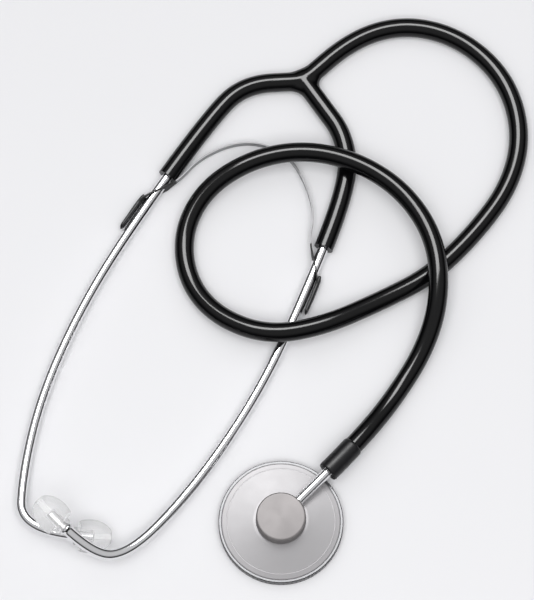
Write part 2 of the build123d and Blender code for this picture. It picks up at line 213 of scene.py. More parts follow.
class MetalSettings(PropertyGroup):
    """The chest piece, the ear tubes and the leaf spring."""

    turned_color: FloatVectorProperty(
        name="Turned metal", description="Colour of the chest piece's turned body", subtype="COLOR", size=3,
        default=(0.56, 0.55, 0.56), min=0.0, max=1.0)
    # painted shade: multiplies the turned colour darker on the boss, to dim the lamp's reflection on its flat
    # top
    boss_painted_shade: FloatVectorProperty(
        name="Boss painted shade", description="How the turned colour is dimmed on the boss", subtype="COLOR", size=3,
        default=(0.58, 0.56, 0.55), min=0.0, max=1.0)
    bright_color: FloatVectorProperty(
        name="Bright metal", description="Colour of the ear tubes and the stem", subtype="COLOR", size=3,
        default=(0.83, 0.83, 0.84), min=0.0, max=1.0)
    # painted shade: the chrome ring is coloured far darker than metal, standing in for its dark reflections
    ring_color_painted_dark: FloatVectorProperty(
        name="Ring metal", description="Colour of the chest piece's ring", subtype="COLOR", size=3,
        default=(0.16, 0.16, 0.165), min=0.0, max=1.0)
    spring_color: FloatVectorProperty(
        name="Spring steel", description="Colour of the leaf spring", subtype="COLOR", size=3,
        default=(0.40, 0.40, 0.41), min=0.0, max=1.0)
    leaf_thick: FloatProperty(
        name="Leaf thickness", description="Thickness of the leaf spring", default=0.0006, min=0.0002,
        max=0.002, unit="LENGTH")
    leaf_wide: FloatProperty(
        name="Leaf width", description="Width of the leaf spring, which stands on edge", default=0.0064,
        min=0.002, max=0.012, unit="LENGTH")


class TipSettings(PropertyGroup):
    """The soft ear tips."""

    color: FloatVectorProperty(
        name="Ear tip colour", description="Colour of the pale see-through ear tips", subtype="COLOR", size=3,
        default=(0.97, 0.97, 0.97), min=0.0, max=1.0)
    radius: FloatProperty(
        name="Ear tip radius", description="Radius of an ear tip at its widest", default=0.0067, min=0.004,
        max=0.009, unit="LENGTH")


class StageSettings(PropertyGroup):
    """The table and the lamps."""

    table_color: FloatVectorProperty(
        name="Table", description="Colour of the pale table", subtype="COLOR", size=3,
        default=(0.80, 0.80, 0.815), min=0.0, max=1.0)
    key_power: FloatProperty(
        name="Key lamp", description="Power of the lamp that makes the highlights", default=23.0,
        min=0.0, max=200.0, unit="POWER")
    fill_power: FloatProperty(
        name="Fill lamp", description="Power of the wide soft lamp overhead", default=34.0,
        min=0.0, max=200.0, unit="POWER")


# Shapes


def beyond(start, end, distance):
    """The point at a distance from end, on the line that comes from start."""
    way = (Vector(end) - Vector(start)).normalized()
    return Vector(end) + way * distance


def leaf_crossings():
    """Where the leaf spring goes through the left and the right ear tube."""
    return [beyond(*LEFT_EXIT, LEAF_CROSSING), beyond(*RIGHT_EXIT, LEAF_CROSSING)]


def route_curve(name, points, bevel=0.0):
    """A smooth open spline with the given points as its control points."""
    curve = bpy.data.curves.new(name, "CURVE")
    curve.dimensions = "3D"
    spline = curve.splines.new("NURBS")
    spline.points.add(len(points) - 1)
    for point, place in zip(spline.points, points):
        point.co = (*place, 1.0)
    spline.order_u = 3
    spline.use_endpoint_u = True
    spline.resolution_u = 14
    curve.bevel_depth = bevel
    curve.bevel_resolution = 9
    curve.use_fill_caps = bevel > 0
    obj = bpy.data.objects.new(name, curve)
    bpy.context.scene.collection.objects.link(obj)
    return obj


def line_of(points):
    """The points along the smooth spline through a route, read from the spline itself."""
    obj = route_curve("route", points)
    bpy.context.view_layer.update()
    mesh = bpy.data.meshes.new_from_object(obj.evaluated_get(bpy.context.evaluated_depsgraph_get()))
    line = [vertex.co.copy() for vertex in mesh.vertices]
    bpy.data.meshes.remove(mesh)
    curve = obj.data
    bpy.data.objects.remove(obj)
    bpy.data.curves.remove(curve)
    return line


def distances(line):
    """How far along a line each of its points is."""
    along = [0.0]
    for a, b in zip(line, line[1:]):
        along.append(along[-1] + (b - a).length)
    return along


def resample(line, step):
    """The same line in equal steps of about the given length."""
    along = np.array(distances(line))
    places = np.array([tuple(point) for point in line])
    count = max(2, int(round(along[-1] / step)) + 1)
    marks = np.linspace(0.0, along[-1], count)
    return [Vector([float(np.interp(mark, along, places[:, axis])) for axis in range(3)]) for mark in marks]


def sections(line, up=Vector((0, 0, 1))):
    """A frame at each point of a line: its side and its up, both square to the line."""
    frames = []
    for index, point in enumerate(line):
        before = line[max(index - 1, 0)]
        after = line[min(index + 1, len(line) - 1)]
        way = (after - before).normalized()
        side = way.cross(up).normalized()
        frames.append((point, side, side.cross(way).normalized(), way))
    return frames


def add_object(name, verts, faces):
    """A smooth-shaded mesh object with its faces turned outwards."""
    mesh = bpy.data.meshes.new(name)
    mesh.from_pydata([tuple(vert) for vert in verts], [], faces)
    work = bmesh.new()
    work.from_mesh(mesh)
    bmesh.ops.remove_doubles(work, verts=work.verts, dist=1e-7)
    bmesh.ops.recalc_face_normals(work, faces=work.faces)
    work.to_mesh(mesh)
    work.free()
    for polygon in mesh.polygons:
        polygon.use_smooth = True
    obj = bpy.data.objects.new(name, mesh)
    bpy.context.scene.collection.objects.link(obj)
    return obj


def loft(name, rings, closed=False):
    """A skin over rings of equal counts, with both ends capped, or joined end to start."""
    count = len(rings[0])
    verts = [vert for ring in rings for vert in ring]
    faces = []
    pairs = len(rings) if closed else len(rings) - 1
    for row in range(pairs):
        a, b = row * count, ((row + 1) % len(rings)) * count
        for step in range(count):
            follow = (step + 1) % count
            faces.append((a + step, a + follow, b + follow, b + step))
    if not closed:
        faces.append(tuple(range(count)))
        faces.append(tuple(range(len(verts) - count, len(verts))))
    return add_object(name, verts, faces)


def circle(place, side, up, radius, count):
    """A ring of points round a place."""
    return [
        place + side * (radius * math.cos(2 * math.pi * step / count))
        + up * (radius * math.sin(2 * math.pi * step / count))
        for step in range(count)
    ]


def round_tube(name, line, radius_at, count, bore_r=None, bore_depth=0.006):
    """A tube along a line, its radius given by distance; a bore shows at both its ends."""
    along = distances(line)
    frames = sections(line)
    rings = []
    if bore_r:
        place, side, up, way = frames[0]
        rings.append(circle(place + way * bore_depth, side, up, bore_r, count))
        rings.append(circle(place, side, up, bore_r, count))
    for (place, side, up, _), mark in zip(frames, along):
        rings.append(circle(place, side, up, radius_at(mark), count))
    if bore_r:
        place, side, up, way = frames[-1]
        rings.append(circle(place, side, up, bore_r, count))
        rings.append(circle(place - way * bore_depth, side, up, bore_r, count))
    return loft(name, rings)


def rounded(profile, passes=3):
    """A profile with its corners cut smooth, apart from its two ends."""
    points = [Vector(point) for point in profile]
    for _ in range(passes):
        smoother = [points[0]]
        for a, b, c in zip(points, points[1:], points[2:]):
            smoother += [b.lerp(a, 0.25), b.lerp(c, 0.25)]
        points = [*smoother, points[-1]]
    return points


def lathe(name, profile, base, way, count):
    """A closed profile of radius and height turned round an axis."""
    way = Vector(way).normalized()
    side = way.cross(Vector((0, 0, 1)))
    side = Vector((1, 0, 0)) if side.length < 1e-6 else side.normalized()
    up = way.cross(side).normalized()
    base = Vector(base)
    rings = [
        circle(base + way * height, side, up, max(radius, 0.0), count) for radius, height in profile
    ]
    return loft(name, rings, closed=True)


def shade_by_angle(obj, degrees):
    """Edges sharper than the angle stay crisp."""
    limit = math.radians(degrees)
    work = bmesh.new()
    work.from_mesh(obj.data)
    for edge in work.edges:
        edge.smooth = len(edge.link_faces) != 2 or edge.calc_face_angle(0.0) < limit
    work.to_mesh(obj.data)
    work.free()


def cut_with(obj, cutter):
    """Takes the cutter's shape out of a mesh object and removes the cutter."""
    modifier = obj.modifiers.new("cut", "BOOLEAN")
    modifier.operation = "DIFFERENCE"
    modifier.solver = "EXACT"
    modifier.object = cutter
    bpy.context.view_layer.update()
    result = bpy.data.meshes.new_from_object(obj.evaluated_get(bpy.context.evaluated_depsgraph_get()))
    obj.modifiers.clear()
    obj.data = result
    bpy.data.objects.remove(cutter)


# Shader groups that more than one material uses


def new_group(name, inputs, outputs):
    """An empty shader group with its input and output nodes."""
    group = bpy.data.node_groups.new(name, "ShaderNodeTree")
    for label, kind, default in inputs:
        socket = group.interface.new_socket(name=label, in_out="INPUT", socket_type=kind)
        socket.default_value = default
    for label, kind in outputs:
        group.interface.new_socket(name=label, in_out="OUTPUT", socket_type=kind)
    return group, group.nodes.new("NodeGroupInput"), group.nodes.new("NodeGroupOutput")


def feed(tree, socket, value):
    """Links an output to an input socket, or gives the socket a value."""
    if isinstance(value, bpy.types.NodeSocket):
        tree.links.new(value, socket)
    else:
        socket.default_value = value


def maths(tree, operation, *values):
    """A Math node with its inputs linked or set; returns its output socket."""
    node = tree.nodes.new("ShaderNodeMath")
    node.operation = operation
    for socket, value in zip(node.inputs, values):
        feed(tree, socket, value)
    return node.outputs[0]


def mixed_color(tree, factor, first, second, blend="MIX"):
    """A colour Mix node with its inputs linked or set; returns its output socket."""
    node = tree.nodes.new("ShaderNodeMix")
    node.data_type = "RGBA"
    node.blend_type = blend
    for index, value in ((0, factor), (6, first), (7, second)):
        feed(tree, node.inputs[index], value)
    return node.outputs[2]


def noise(tree, where, scale, detail=3.0):
    """A noise texture's value at a place."""
    node = tree.nodes.new("ShaderNodeTexNoise")
    for label, value in (("Detail", detail), ("Scale", scale), ("Vector", where)):
        feed(tree, node.inputs[label], value)
    return node.outputs["Fac"]


def add_bump(tree, height, strength, depth, onto):
    """A Bump node whose normal goes into the given socket."""
    node = tree.nodes.new("ShaderNodeBump")
    for label, value in (("Height", height), ("Strength", strength), ("Distance", depth)):
        feed(tree, node.inputs[label], value)
    tree.links.new(node.outputs[0], onto)
    return node


def handled_group():
    """Colour, roughness and height of a surface with faint cloudiness, handling marks and fine grain."""
    if "handled surface" in bpy.data.node_groups:
        return bpy.data.node_groups["handled surface"]
    tree, given, out = new_group(
        "handled surface",
        [
            ("Color", "NodeSocketColor", (0.5, 0.5, 0.5, 1.0)),
            ("Shade", "NodeSocketFloat", 0.1),
            ("Size", "NodeSocketFloat", 60.0),
            ("Roughness", "NodeSocketFloat", 0.3),
            ("Marks", "NodeSocketFloat", 0.1),
            ("Grain", "NodeSocketFloat", 900.0),
        ],
        [("Color", "NodeSocketColor"), ("Roughness", "NodeSocketFloat"), ("Height", "NodeSocketFloat")],
    )
    where = tree.nodes.new("ShaderNodeTexCoord").outputs["Object"]
    clouds = noise(tree, where, given.outputs["Size"])
    marks = noise(tree, where, maths(tree, "MULTIPLY", given.outputs["Size"], 7.0), 5.0)
    grain = noise(tree, where, given.outputs["Grain"], 2.0)
    low = maths(tree, "SUBTRACT", 1.0, given.outputs["Shade"])
    shade = maths(tree, "MULTIPLY_ADD", clouds, given.outputs["Shade"], low)
    tinted = tree.nodes.new("ShaderNodeVectorMath")
    tinted.operation = "SCALE"
    tree.links.new(given.outputs["Color"], tinted.inputs[0])
    tree.links.new(shade, tinted.inputs["Scale"])
    tree.links.new(tinted.outputs[0], out.inputs["Color"])
    swing = maths(tree, "SUBTRACT", marks, 0.5)
    rough = maths(tree, "MULTIPLY_ADD", swing, given.outputs["Marks"], given.outputs["Roughness"])
    tree.links.new(maths(tree, "MAXIMUM", rough, 0.02), out.inputs["Roughness"])
    tree.links.new(maths(tree, "MULTIPLY_ADD", marks, 0.3, grain), out.inputs["Height"])
    return tree


def turned_group():
    """Fine rings round the object's upright axis, as a lathe tool leaves them, and a mask of the boss, which
    takes painted shade.
    """
    if "turned rings" in bpy.data.node_groups:
        return bpy.data.node_groups["turned rings"]
    tree, given, out = new_group(
        "turned rings",
        [("Rings", "NodeSocketFloat", 1000.0), ("Boss", "NodeSocketFloat", 0.01)],
        [("Mask", "NodeSocketFloat"), ("Height", "NodeSocketFloat")],
    )
    where = tree.nodes.new("ShaderNodeTexCoord").outputs["Object"]
    parts = tree.nodes.new("ShaderNodeSeparateXYZ")
    tree.links.new(where, parts.inputs[0])
    across = maths(tree, "MULTIPLY", parts.outputs["X"], parts.outputs["X"])
    squared = maths(tree, "MULTIPLY_ADD", parts.outputs["Y"], parts.outputs["Y"], across)
    radius = maths(tree, "SQRT", squared)
    rings = tree.nodes.new("ShaderNodeTexNoise")
    rings.noise_dimensions = "1D"
    rings.inputs["Scale"].default_value = 1.0
    rings.inputs["Detail"].default_value = 4.0
    tree.links.new(maths(tree, "MULTIPLY", radius, given.outputs["Rings"]), rings.inputs["W"])
    tree.links.new(rings.outputs["Fac"], out.inputs["Height"])
    tree.links.new(maths(tree, "LESS_THAN", radius, given.outputs["Boss"]), out.inputs["Mask"])
    return tree


def new_material(name):
    """A material with a Principled shader; returns it, its tree and the shader."""
    material = bpy.data.materials.new(name)
    material.use_nodes = True
    tree = material.node_tree
    tree.nodes.clear()
    output = tree.nodes.new("ShaderNodeOutputMaterial")
    shader = tree.nodes.new("ShaderNodeBsdfPrincipled")
    tree.links.new(shader.outputs[0], output.inputs["Surface"])
    return material, tree, shader


def handled(tree, shader, color, shade, size, roughness, marks, grain, bump, depth):
    """Puts the handled surface on a shader, with its own values; returns its group and Bump nodes."""
    node = tree.nodes.new("ShaderNodeGroup")
    node.node_tree = handled_group()
    values = {
        "Color": (*color, 1.0), "Shade": shade, "Size": size, "Roughness": roughness, "Marks": marks,
        "Grain": grain,
    }
    for label, value in values.items():
        node.inputs[label].default_value = value
    tree.links.new(node.outputs["Color"], shader.inputs["Base Color"])
    tree.links.new(node.outputs["Roughness"], shader.inputs["Roughness"])
    return node, add_bump(tree, node.outputs["Height"], bump, depth, shader.inputs["Normal"])


def dull_for_table(tree, shader, node):
    """Makes a piece rough to the light that reaches the table from it, which would be speckled."""
    rays = tree.nodes.new("ShaderNodeLightPath")
    dull = maths(tree, "MULTIPLY", rays.outputs["Is Diffuse Ray"], 0.9)
    tree.links.new(maths(tree, "MAXIMUM", node.outputs["Roughness"], dull), shader.inputs["Roughness"])


def tubing_material(settings):
    """Soft black tubing with a gloss skin."""
    material, tree, shader = new_material("black tubing")
    handled(
        tree, shader, settings.color, shade=0.25, size=35.0, roughness=0.14,
        marks=0.10, grain=700.0, bump=0.05, depth=0.00004)
    shader.inputs["Specular IOR Level"].default_value = 0.28
    return material


def sleeve_material(settings, name, roughness):
    """The duller black of the sleeves."""
    material, tree, shader = new_material(name)
    handled(
        tree, shader, settings.sleeve_color, shade=0.3, size=50.0, roughness=roughness,
        marks=0.15, grain=1600.0, bump=0.12, depth=0.00006)
    shader.inputs["Specular IOR Level"].default_value = 0.3
    return material


def turned_material(settings):
    """Turned aluminium: its rings spread the lamps into bright sectors, and painted shade dims its boss."""
    material, tree, shader = new_material("turned metal")
    node, relief = handled(
        tree, shader, settings.turned_color, shade=0.06, size=30.0, roughness=0.62,
        marks=0.10, grain=1500.0, bump=0.03, depth=0.00002)
    shader.inputs["Metallic"].default_value = 0.7
    shader.inputs["Anisotropic"].default_value = 0.85
    rings = tree.nodes.new("ShaderNodeGroup")
    rings.node_tree = turned_group()
    rings.inputs["Rings"].default_value = TURNED_RINGS
    rings.inputs["Boss"].default_value = BOSS_R
    # painted shade: inside BOSS_R the turned colour is multiplied darker, in place of less light on the boss
    boss_painted_shade = (*settings.boss_painted_shade, 1.0)
    shaded = mixed_color(tree, rings.outputs["Mask"], node.outputs["Color"], boss_painted_shade, "MULTIPLY")
    tree.links.new(shaded, shader.inputs["Base Color"])
    add_bump(tree, rings.outputs["Height"], 0.16, 0.00003, relief.inputs["Normal"])
    tangent = tree.nodes.new("ShaderNodeTangent")
    tangent.direction_type = "RADIAL"
    tangent.axis = "Z"
    tree.links.new(tangent.outputs[0], shader.inputs["Tangent"])
    return material


def bright_material(color, name, roughness=0.11):
    """Polished metal with faint handling marks."""
    material, tree, shader = new_material(name)
    node, _ = handled(
        tree, shader, color, shade=0.05, size=70.0, roughness=roughness,
        marks=0.09, grain=2500.0, bump=0.03, depth=0.00003)
    shader.inputs["Metallic"].default_value = 1.0
    dull_for_table(tree, shader, node)
    return material


def spring_material(settings):
    """Satin spring steel, coloured black round each ear tube."""
    material, tree, shader = new_material("spring steel")
    node, _ = handled(
        tree, shader, settings.spring_color, shade=0.12, size=90.0, roughness=0.62,
        marks=0.15, grain=2500.0, bump=0.08, depth=0.00003)
    where = tree.nodes.new("ShaderNodeTexCoord").outputs["Object"]
    nearest = None
    for crossing in leaf_crossings():
        off = tree.nodes.new("ShaderNodeVectorMath")
        off.operation = "DISTANCE"
        off.inputs[1].default_value = crossing
        tree.links.new(where, off.inputs[0])
        far = off.outputs["Value"]
        nearest = far if nearest is None else maths(tree, "MINIMUM", nearest, far)
    bare = maths(tree, "GREATER_THAN", nearest, BLACK_REACH)
    # the leaf is coloured plain black within BLACK_REACH of each crossing
    vinyl = (0.006, 0.006, 0.006, 1.0)
    blackened = mixed_color(tree, bare, vinyl, node.outputs["Color"])
    tree.links.new(blackened, shader.inputs["Base Color"])
    tree.links.new(maths(tree, "MULTIPLY", bare, 0.35), shader.inputs["Metallic"])
    return material


def tip_material(settings):
    """Pale, soft, see-through ear tip."""
    material, tree, shader = new_material("clear ear tip")
    node, _ = handled(
        tree, shader, settings.color, shade=0.03, size=120.0, roughness=0.16,
        marks=0.06, grain=600.0, bump=0.04, depth=0.00004)
    dull_for_table(tree, shader, node)
    shader.inputs["Transmission Weight"].default_value = 0.8
    shader.inputs["IOR"].default_value = 1.08
    return material


def sheet_material():
    """Thin glass-fibre sheet of the diaphragm: a fine weave under clear resin."""
    material, tree, shader = new_material("diaphragm sheet")
    _, relief = handled(
        tree, shader, (0.82, 0.83, 0.79), shade=0.10, size=60.0, roughness=0.24,
        marks=0.08, grain=1500.0, bump=0.05, depth=0.00002)
    where = tree.nodes.new("ShaderNodeTexCoord").outputs["Object"]
    strands = []
    for turn in (0.0, math.pi / 2):
        mapping = tree.nodes.new("ShaderNodeMapping")
        mapping.inputs["Rotation"].default_value = (0.0, 0.0, turn)
        tree.links.new(where, mapping.inputs["Vector"])
        wave = tree.nodes.new("ShaderNodeTexWave")
        wave.inputs["Scale"].default_value = 420.0
        wave.inputs["Distortion"].default_value = 0.4
        tree.links.new(mapping.outputs[0], wave.inputs["Vector"])
        strands.append(wave.outputs["Fac"])
    add_bump(tree, maths(tree, "MAXIMUM", *strands), 0.12, 0.00004, relief.inputs["Normal"])
    shader.inputs["Coat Weight"].default_value = 0.3
    return material


def rubber_material():
    """Matt black rubber of the gasket."""
    material, tree, shader = new_material("gasket rubber")
    handled(
        tree, shader, (0.02, 0.02, 0.02), shade=0.3, size=60.0, roughness=0.6,
        marks=0.15, grain=1500.0, bump=0.2, depth=0.00005)
    return material


def table_material(settings):
    """The pale table."""
    material, tree, shader = new_material("pale table")
    handled(
        tree, shader, settings.table_color, shade=0.015, size=3.0, roughness=0.7,
        marks=0.05, grain=400.0, bump=0.02, depth=0.0001)
    shader.inputs["Specular IOR Level"].default_value = 0.2
    return material


def paint(obj, material):
    """Gives a piece its only material."""
    obj.data.materials.clear()
    obj.data.materials.append(material)


def repaint(node, material):
    """Gives a carried-over node its material."""
    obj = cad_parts[node]
    for index in range(len(obj.material_slots)):
        obj.material_slots[index].link = "OBJECT"
        obj.material_slots[index].material = material
    if not obj.material_slots:
        obj.data.materials.append(material)


# The pieces


class STETHOSCOPE_OT_camera(Operator):
    """Set the camera where the photograph was taken: almost straight above, a little from the near side"""

    bl_idname = "stethoscope.camera"
    bl_label = "Camera"

    def execute(self, context):
        data = bpy.data.cameras.new("camera")
        data.sensor_fit = "VERTICAL"
        data.sensor_height = CAMERA_SENSOR
        data.lens = CAMERA_LENS
        data.clip_start = 0.01
        data.clip_end = 50.0
        camera = bpy.data.objects.new("camera", data)
        context.scene.collection.objects.link(camera)
        back = Vector((0.0, -math.sin(CAMERA_TILT), math.cos(CAMERA_TILT)))
        camera.location = CAMERA_AIM + back * CAMERA_DISTANCE
        camera.rotation_euler = (CAMERA_TILT, 0.0, 0.0)
        context.scene.camera = camera
        return {"FINISHED"}


def hose_route():
    """The control points of the hose, from the Y piece to the stem."""
    first = beyond(HOSE_CORNERS[0], JUNCTION, -HOSE_BRANCH)
    last = Vector((0.0, 0.0, STEM_Z)) + STEM_WAY * (HOSE_END_R + LAST_RUN)
    end = Vector((0.0, 0.0, STEM_Z)) + STEM_WAY * HOSE_END_R
    return [first, *(Vector(corner) for corner in HOSE_CORNERS), last, end]


class STETHOSCOPE_OT_hose(Operator):
    """Lay the main hose in its loop and put the sleeve on its end"""

    bl_idname = "stethoscope.hose"
    bl_label = "Main hose"

    def execute(self, context):
        settings = context.scene.stethoscope_tubing
        route = hose_route()
        hose = route_curve("hose", route, HOSE_R)
        paint(hose, tubing_material(settings))
        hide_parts("main_hose")
        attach(hose, "tubing")

        line = resample(line_of(route), 0.0007)
        marks = distances(line)
        last = [point for point, mark in zip(line, marks) if mark > marks[-1] - SLEEVE_LENGTH]
        length = distances(last)[-1]

        def radius_at(mark):
            edge = min(mark, length - mark)
            if edge >= SLEEVE_LIP:
                return HOSE_R + SLEEVE_WALL
            return HOSE_R + SLEEVE_WALL * (0.35 + 0.65 * math.sqrt(1 - (1 - edge / SLEEVE_LIP) ** 2))

        sleeve = round_tube("hose_sleeve", last, radius_at, settings.sides, HOSE_R - RUN, 0.002)
        paint(sleeve, sleeve_material(settings, "hose sleeve black", 0.38))
        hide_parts("hose_end_sleeve")
        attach(sleeve, "tubing")
        return {"FINISHED"}


def distance_to_line(points, line):
    """How far each point is from a line."""
    best = np.full(len(points), np.inf)
    for a, b in zip(line, line[1:]):
        run = b - a
        share = np.clip((points - a) @ run / (run @ run), 0.0, 1.0)
        best = np.minimum(best, np.linalg.norm(points - a - share[:, None] * run, axis=1))
    return best


def melt(fields, reach):
    """The least of several distances, rounded where two are close."""
    total = fields[0]
    for field in fields[1:]:
        share = np.clip(0.5 + 0.5 * (field - total) / reach, 0.0, 1.0)
        total = field * (1 - share) + total * share - reach * share * (1 - share)
    return total


def fuse(name, lines):
    """One closed mesh object round several lines."""
    joined = bmesh.new()
    for line in lines:
        rough = round_tube("branch", [Vector(place) for place in line], lambda mark: HOSE_R * 0.98, 24)
        joined.from_mesh(rough.data)
        bpy.data.objects.remove(rough)
    mesh = bpy.data.meshes.new(name)
    joined.to_mesh(mesh)
    joined.free()
    fused = bpy.data.objects.new(name, mesh)
    bpy.context.scene.collection.objects.link(fused)
    remesh = fused.modifiers.new("remesh", "REMESH")
    remesh.mode = "VOXEL"
    remesh.voxel_size = MOULD_VOXEL
    bpy.context.view_layer.update()
    mesh = bpy.data.meshes.new_from_object(fused.evaluated_get(bpy.context.evaluated_depsgraph_get()))
    fused.modifiers.clear()
    fused.data = mesh
    return fused


def settle(mesh, lines, crotch):
    """Moves every point of a mesh onto the melted surface of the tubes round the lines."""

    def melted(at):
        """How far each point is from the melted surface; the crotch fills only at half height."""
        rise = (at[:, 2] - LIE_Z) / HOSE_R
        reach = crotch * np.clip(1 - rise**2, 0.03, 1.0)
        return melt([distance_to_line(at, line) - HOSE_R for line in lines], reach)

    places = np.array([vertex.co for vertex in mesh.vertices], float).reshape(-1, 3)
    step = 1e-5
    for _ in range(MOULD_PASSES):
        value = melted(places)
        slope = np.zeros_like(places)
        for axis in range(3):
            moved = places.copy()
            moved[:, axis] += step
            slope[:, axis] = (melted(moved) - value) / step
        steepness = np.maximum(np.einsum("ij,ij->i", slope, slope), 0.25)
        places = places - slope * (value / steepness)[:, None]
    mesh.vertices.foreach_set("co", places.ravel())
    mesh.update()


def trim(mesh, cuts):
    """Cuts a mesh square at each place, takes off what lies further along the way, and caps it."""
    work = bmesh.new()
    work.from_mesh(mesh)
    for place, way in cuts:
        near = [vert for vert in work.verts if (vert.co - place).length < CUT_REACH]
        edges = {edge for vert in near for edge in vert.link_edges}
        faces = {face for vert in near for face in vert.link_faces}
        cut = bmesh.ops.bisect_plane(
            work, geom=[*near, *edges, *faces], plane_co=place, plane_no=way, clear_outer=True, dist=1e-6)
        rim = [part for part in cut["geom_cut"] if isinstance(part, bmesh.types.BMEdge)]
        bmesh.ops.contextual_create(work, geom=rim)
    bmesh.ops.recalc_face_normals(work, faces=work.faces)
    for face in work.faces:
        face.smooth = True
    work.to_mesh(mesh)
    work.free()


class STETHOSCOPE_OT_branches(Operator):
    """Mould the Y piece with the right arm, and the left arm as a piece of its own"""

    bl_idname = "stethoscope.branches"
    bl_label = "Y piece and arms"

    def execute(self, context):
        settings = context.scene.stethoscope_tubing
        black = bpy.data.materials["black tubing"]
        hose_start = beyond(HOSE_CORNERS[0], JUNCTION, -HOSE_BRANCH)
        left_start = beyond(LEFT_ARM_CORNERS[0], JUNCTION, -LEFT_BRANCH)
        right_start = beyond(RIGHT_ARM_CORNERS[0], JUNCTION, -RIGHT_BRANCH)

        # the hose runs on into the left branch, and the right branch leaves it at the junction
        through = line_of([
            beyond(JUNCTION, left_start, MOULD_PAST), beyond(JUNCTION, left_start, -MOULD_PAST), JUNCTION,
            beyond(JUNCTION, hose_start, -MOULD_PAST), beyond(JUNCTION, hose_start, MOULD_PAST)])
        right = line_of([JUNCTION, right_start, *RIGHT_ARM_CORNERS, RIGHT_ARM_END])
        right = [*right, beyond(right[-2], right[-1], MOULD_PAST)]
        lines = [
            np.array([tuple(point) for point in resample(line, MOULD_STEP)]) for line in (through, right)
        ]
        moulding = fuse("y_piece_and_right_arm", lines)
        settle(moulding.data, lines, settings.crotch)
        trim(moulding.data, [
            (left_start, left_start - JUNCTION),
            (hose_start, hose_start - JUNCTION),
            (Vector(RIGHT_ARM_END), Vector(RIGHT_ARM_END) - Vector(RIGHT_ARM_CORNERS[-1])),
        ])
        shade_by_angle(moulding, 50)
        paint(moulding, black)
        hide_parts("y_piece", "right_arm")
        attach(moulding, "tubing")

        arm_line = resample(line_of([left_start, *LEFT_ARM_CORNERS, LEFT_ARM_END]), 0.001)
        arm = round_tube("left_arm_tube", arm_line, lambda mark: HOSE_R, settings.sides, EAR_R + RUN, 0.003)
        shade_by_angle(arm, 50)
        paint(arm, black)
        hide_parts("left_arm")
        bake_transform(arm)
        return {"FINISHED"}


class STETHOSCOPE_OT_ear_tubes(Operator):
    """Bend the two bright ear tubes, each with its rolled bead"""

    bl_idname = "stethoscope.ear_tubes"
    bl_label = "Ear tubes"

    def execute(self, context):
        metal = bright_material(context.scene.stethoscope_metal.bright_color, "bright ear tube", 0.09)
        for node, leaving, straight, corners, body in (
            ("left_ear_tube", LEFT_EXIT, LEFT_STRAIGHT, LEFT_EAR_CORNERS, "left_ear"),
            ("right_ear_tube", RIGHT_EXIT, RIGHT_STRAIGHT, RIGHT_EAR_CORNERS, "tubing"),
        ):
            route = [beyond(*leaving, -EAR_IN_ARM), beyond(*leaving, straight), *corners]
            line = resample(line_of(route), 0.0006)
            bead_at = distances(line)[-1] - TIP_GRIP - BEAD_BEFORE_TIP

            def radius_at(mark, bead_at=bead_at):
                off = abs(mark - bead_at) / BEAD_HALF
                return EAR_R + (BEAD_R - EAR_R) * math.sqrt(1 - off * off) if off < 1 else EAR_R

            tube = round_tube(node + "_bent", line, radius_at, 36, EAR_BORE_R, 0.012)
            shade_by_angle(tube, 55)
            paint(tube, metal)
            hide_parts(node)
            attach(tube, body)
        return {"FINISHED"}


class STETHOSCOPE_OT_ear_tips(Operator):
    """Mould the two soft ear tips"""

    bl_idname = "stethoscope.ear_tips"
    bl_label = "Ear tips"

    def execute(self, context):
        settings = context.scene.stethoscope_tips
        soft = tip_material(settings)
        wide = settings.radius
        bore = EAR_R + RUN
        outside = rounded([
            (bore, 0.0), (0.0034, 0.0), (0.0036, 0.0008), (0.0034, 0.0028), (0.0042, 0.0031),
            (0.0055, 0.0021), (0.0062, 0.0026), (wide * 0.985, 0.0045), (wide * 1.01, 0.0066),
            (wide * 0.97, 0.0090), (wide * 0.86, 0.0113), (wide * 0.67, 0.0134), (wide * 0.42, 0.0149),
            (0.0020, 0.01515), (0.0013, 0.0150), (0.0013, 0.0140)])
        profile = [*outside, (0.0013, 0.0081), (bore, 0.0081)]
        for node, corners, body in (
            ("left_ear_tip", LEFT_EAR_CORNERS, "left_tip"),
            ("right_ear_tip", RIGHT_EAR_CORNERS, "right_tip"),
        ):
            base = beyond(corners[-2], corners[-1], RUN - TIP_GRIP)
            way = Vector(corners[-1]) - Vector(corners[-2])
            tip = lathe(node + "_soft", profile, base, way, 64)
            shade_by_angle(tip, 60)
            paint(tip, soft)
            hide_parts(node)
            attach(tip, body)
        return {"FINISHED"}


def beside(arm_corner, arm_end, distance, offset):
    """The point so far along an ear tube from its arm's end, and so far to one side of it."""
    way = (Vector(arm_end) - Vector(arm_corner)).normalized()
    side = Vector((-way.y, way.x, 0.0))
    return Vector(arm_end) + way * distance + side * offset


def leaf_sections(line, thick, wide):
    """The leaf's sections along a line: full width round the holes for the ear tubes, slimmer elsewhere."""
    half = thick / 2
    edge = min(LEAF_EDGE, half * 0.5)
    rings = []
    for place, side, up, _ in sections(line):
        off = min((place - crossing).length for crossing in leaf_crossings())
        near = min(1.0, max(0.0, (HOLE_REACH - off) / HOLE_EASE + 1.0))
        share = LEAF_SLIM + (1.0 - LEAF_SLIM) * near * near * (3 - 2 * near)
        tall = wide / 2 * share
        outline = [
            (half, tall - edge), (half - edge, tall), (-half + edge, tall), (-half, tall - edge),
            (-half, -tall + edge), (-half + edge, -tall), (half - edge, -tall), (half, -tall + edge),
        ]
        rings.append([place + side * across + up * rise for across, rise in outline])
    return rings


